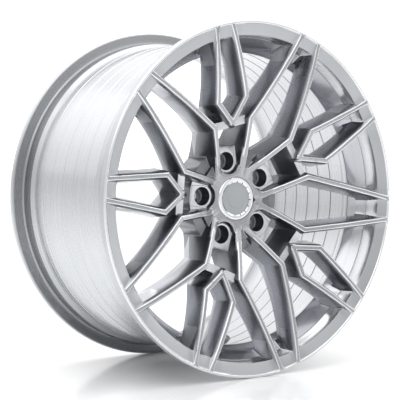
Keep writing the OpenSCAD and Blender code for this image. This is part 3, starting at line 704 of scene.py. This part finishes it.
class WHEEL_OT_valve(bpy.types.Operator):
    """Finish the tyre valve"""

    bl_idname = "wheel.valve"
    bl_label = "Tyre valve"

    def execute(self, context):
        # Stem, nut, washer and dust cap: anodised aluminium, mid grey.
        tone = context.scene.wheel_colours.valve
        grey = turned_metal("grey_anodised_aluminium", tone, 0.25, 0.35, 0.4 * MM, 0.01 * MM)
        for node in ("valve_stem", "valve_nut", "valve_washer", "valve_dust_cap"):
            dress(node, grey)
        # Core: turned brass.
        brass = turned_metal("turned_brass", linear("#B3924D"), 0.25, 0.28, 0.3 * MM, 0.01 * MM)
        for node in ("valve_core_body", "valve_core_pin"):
            dress(node, brass)
        # Spring: drawn steel wire.
        wire = turned_metal("valve_spring_steel", linear("#8D8F93"), 0.2, 0.3, 0.2 * MM, 0.005 * MM)
        build_core_spring(wire)
        # Grommet and seals: moulded rubber, near black.
        rubber = moulded("black_rubber", linear("#1A1A1C"), 0.3, 0.6, 0.5 * MM)
        for node in ("valve_grommet", "valve_core_seal", "valve_dust_cap_seal"):
            dress(node, rubber)
        return {"FINISHED"}


def area_light(name, place, width, height, power):
    """A rectangular lamp at place, turned to the wheel's middle."""
    lamp = bpy.data.lights.new(name, "AREA")
    lamp.shape = "RECTANGLE"
    lamp.size = width
    lamp.size_y = height
    lamp.energy = power
    holder = bpy.data.objects.new(name, lamp)
    bpy.context.scene.collection.objects.link(holder)
    turn = (-Vector(place)).to_track_quat("-Z", "Y").to_matrix().to_4x4()
    holder.matrix_world = Matrix.Translation(place) @ turn


class WHEEL_OT_stage(bpy.types.Operator):
    """Set the floor, the lamps and the camera"""

    bl_idname = "wheel.stage"
    bl_label = "Studio"

    def execute(self, context):
        scene = context.scene
        half = scene.wheel_sizes.floor_size
        ground = CAD_BOX[0].z
        corners = np.array([
            [-half, -half, ground], [half, -half, ground], [half, half, ground], [-half, half, ground]])
        # Floor: white acrylic sheet; pale, with a soft reflection.
        material, tree, shader = new_material("white_acrylic", Metallic=0.0, Roughness=0.14)
        place = add(tree, "ShaderNodeTexCoord").outputs["Object"]
        noise = add(tree, "ShaderNodeTexNoise", {"Vector": place, "Scale": 1.5}).outputs[0]
        tree.links.new(varied(tree, noise, scene.wheel_colours.floor, 0.02), shader.inputs["Base Color"])
        mesh = bpy.data.meshes.new("floor")
        mesh.from_pydata(corners.tolist(), [], [(0, 1, 2, 3)])
        mesh.materials.append(material)
        floor = bpy.data.objects.new("floor", mesh)
        scene.collection.objects.link(floor)

        world = bpy.data.worlds.new("studio")
        scene.world = world
        world.use_nodes = True
        tree = world.node_tree
        tree.nodes.clear()
        white = add(tree, "ShaderNodeBackground", {"Color": (1, 1, 1, 1), "Strength": EVEN_WHITE}).outputs[0]
        way = add(tree, "ShaderNodeTexCoord").outputs["Generated"]
        up = add(tree, "ShaderNodeSeparateXYZ", {0: way}).outputs["Z"]
        ramp = add(tree, "ShaderNodeValToRGB", {0: up})
        for place, _ in SKY[1:-1]:
            ramp.color_ramp.elements.new(place)
        for element, (place, shade) in zip(ramp.color_ramp.elements, SKY):
            element.position = place
            element.color = (shade, shade, shade, 1)
        cards = add(tree, "ShaderNodeBackground", {"Color": ramp.outputs[0], "Strength": 1.0}).outputs[0]
        path = add(tree, "ShaderNodeLightPath").outputs["Is Glossy Ray"]
        mix = add(tree, "ShaderNodeMixShader", {0: path, 1: white, 2: cards}).outputs[0]
        output = add(tree, "ShaderNodeOutputWorld")
        tree.links.new(mix, output.inputs["Surface"])

        for lamp in LAMPS:
            area_light(*lamp)

        azimuth, elevation = CAMERA_AZIMUTH, CAMERA_ELEVATION
        right = Vector((math.cos(azimuth), math.sin(azimuth), 0))
        ahead = Vector((
            -math.sin(azimuth) * math.cos(elevation), math.cos(azimuth) * math.cos(elevation),
            -math.sin(elevation)))
        up = right.cross(ahead)
        aside, above, forward = CAMERA_PLACE
        eye = (aside * right + above * up + forward * ahead) * FLANGE_R
        lens = bpy.data.cameras.new("camera")
        lens.sensor_width = 36
        lens.lens = CAMERA_LENS
        lens.clip_start = 0.05
        lens.clip_end = 100
        camera = bpy.data.objects.new("camera", lens)
        scene.collection.objects.link(camera)
        pose = Matrix((right, up, -ahead)).transposed().to_4x4()
        pose.translation = eye
        camera.matrix_world = pose
        scene.camera = camera
        scene.view_settings.view_transform = "Standard"
        return {"FINISHED"}


class WHEEL_PT_panel(bpy.types.Panel):
    """The wheel's settings and steps"""

    bl_idname = "WHEEL_PT_panel"
    bl_label = "Wheel rim"
    bl_space_type = "VIEW_3D"
    bl_region_type = "UI"
    bl_category = "Wheel rim"

    def draw(self, context):
        for group in (context.scene.wheel_sizes, context.scene.wheel_colours):
            for name in type(group).__annotations__:
                self.layout.prop(group, name)
        for step in STEPS:
            self.layout.operator(step.bl_idname)


STEPS = (
    WHEEL_OT_centre, WHEEL_OT_pad_rims, WHEEL_OT_barrel, WHEEL_OT_lugs, WHEEL_OT_cap, WHEEL_OT_valve,
    WHEEL_OT_stage)
CLASSES = (WheelSizes, WheelColours) + STEPS + (WHEEL_PT_panel,)


def register():
    for kind in CLASSES:
        bpy.utils.register_class(kind)
    bpy.types.Scene.wheel_sizes = bpy.props.PointerProperty(type=WheelSizes)
    bpy.types.Scene.wheel_colours = bpy.props.PointerProperty(type=WheelColours)


def unregister():
    del bpy.types.Scene.wheel_colours
    del bpy.types.Scene.wheel_sizes
    for kind in reversed(CLASSES):
        bpy.utils.unregister_class(kind)


def main():
    """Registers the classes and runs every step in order."""
    register()
    bpy.ops.wheel.centre()
    bpy.ops.wheel.pad_rims()
    bpy.ops.wheel.barrel()
    bpy.ops.wheel.lugs()
    bpy.ops.wheel.cap()
    bpy.ops.wheel.valve()
    bpy.ops.wheel.stage()


if __name__ == "__main__":
    main()
